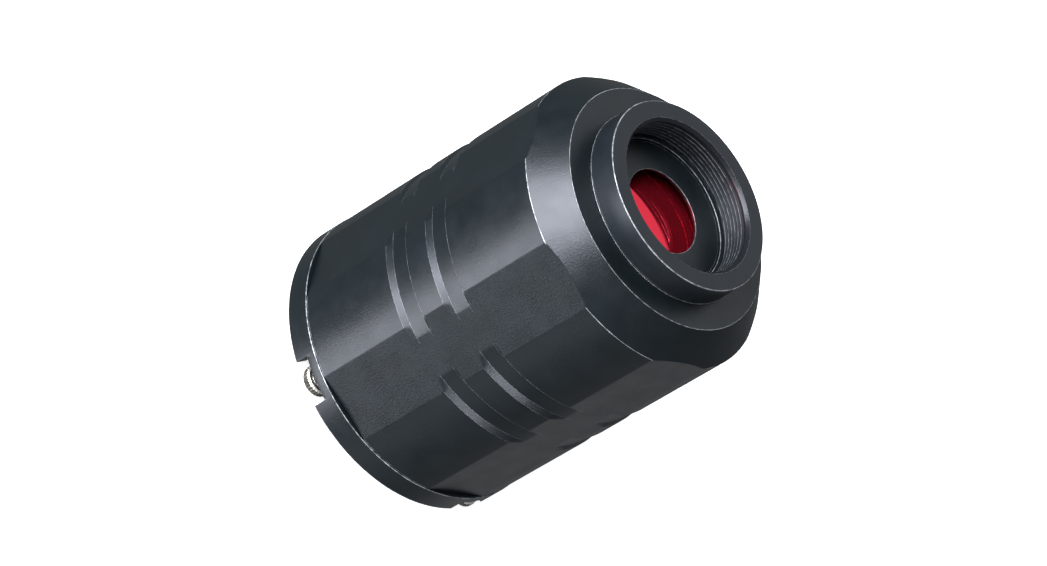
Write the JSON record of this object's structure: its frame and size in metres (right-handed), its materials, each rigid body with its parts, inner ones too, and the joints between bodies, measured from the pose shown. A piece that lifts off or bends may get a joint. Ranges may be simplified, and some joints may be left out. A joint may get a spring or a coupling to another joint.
{
  "type": "cooled astronomy camera",
  "caption": "Cylindrical black anodised camera with six milled flats, a front cone, a threaded nose with a red window, a finned cooler and a fan behind a rear cover held by thumbscrews.",
  "frame": {"origin": "middle of the base of the rear rim, which the camera stands on", "axes": "+Z along the optical axis towards the nose; flats face 0, 60, 120 degrees and so on from +X"},
  "size_m": [0.0804, 0.0804, 0.1046],
  "materials": {
    "anodised": "bead-blasted black anodised",
    "nose": "turned black anodised",
    "knurled": "knurled black anodised",
    "window": "red dichroic coating",
    "clear_glass": "polished",
    "rubber": "matt",
    "retainer": "black anodised",
    "ceramic": "unglazed",
    "sensor": "matt ceramic package",
    "board": "solder mask",
    "copper": "machined copper",
    "foam": "closed-cell foam",
    "paper": "desiccant paper",
    "ribbon": "polyimide film",
    "heatsink": "machined",
    "steel": "plated",
    "fan_plastic": "moulded",
    "bronze": "sintered bronze",
    "winding": "enamelled copper wire",
    "socket_shell": "nickel plated",
    "blue_insert": "moulded blue",
    "black_insert": "moulded black"
  },
  "bodies": {
    "camera": {"main_housing": "anodised", "rear_cover": "anodised", "nose_ring": "nose", "window_glass": "window", "sensor_cover_glass": "clear_glass", "window_o_ring": "rubber", "chamber_o_ring": "rubber", "window_retaining_ring": "retainer", "peltier_hot_side": "ceramic", "peltier_cold_plate": "ceramic", "sensor_package": "sensor", "sensor_board": "board", "main_board": "board", "cold_finger": "copper", "insulation_liner": "foam", "desiccant_pack": "paper", "sensor_ribbon": "ribbon", "heatsink": "heatsink", "heatsink_screw_1": "steel", "heatsink_screw_2": "steel", "heatsink_screw_3": "steel", "heatsink_screw_4": "steel", "fan_screw_1": "steel", "fan_screw_2": "steel", "fan_screw_3": "steel", "fan_screw_4": "steel", "board_post_1": "steel", "board_post_2": "steel", "board_post_3": "steel", "board_post_4": "steel", "sensor_standoff_1": "steel", "sensor_standoff_2": "steel", "sensor_standoff_3": "steel", "sensor_standoff_4": "steel", "power_pin": "steel", "fan_frame": "fan_plastic", "fan_bearing": "bronze", "fan_stator": "winding", "usb3_b_socket": "socket_shell", "usb_hub_socket": "socket_shell", "usb3_b_tongue": "blue_insert", "usb_hub_tongue": "black_insert", "power_socket": "black_insert", "guide_port": "black_insert"},
    "rotor": {"fan_rotor": "fan_plastic"},
    "screw_1": {"thumbscrew_1": "knurled"},
    "screw_2": {"thumbscrew_2": "knurled"},
    "screw_3": {"thumbscrew_3": "knurled"},
    "screw_4": {"thumbscrew_4": "knurled"}
  },
  "joints": [
    {"name": "fan_spin", "type": "hinge", "parent": "camera", "child": "rotor", "pos_m": [0, 0, 0.0124], "axis": [0, 0, 1], "continuous": true},
    {"name": "thumbscrew_1_turn", "type": "hinge", "parent": "camera", "child": "screw_1", "pos_m": [0.02553, 0.02553, 0.0042], "axis": [0, 0, -1], "continuous": true},
    {"name": "thumbscrew_2_turn", "type": "hinge", "parent": "camera", "child": "screw_2", "pos_m": [-0.02553, 0.02553, 0.0042], "axis": [0, 0, -1], "continuous": true},
    {"name": "thumbscrew_3_turn", "type": "hinge", "parent": "camera", "child": "screw_3", "pos_m": [-0.02553, -0.02553, 0.0042], "axis": [0, 0, -1], "continuous": true},
    {"name": "thumbscrew_4_turn", "type": "hinge", "parent": "camera", "child": "screw_4", "pos_m": [0.02553, -0.02553, 0.0042], "axis": [0, 0, -1], "continuous": true}
  ]
}
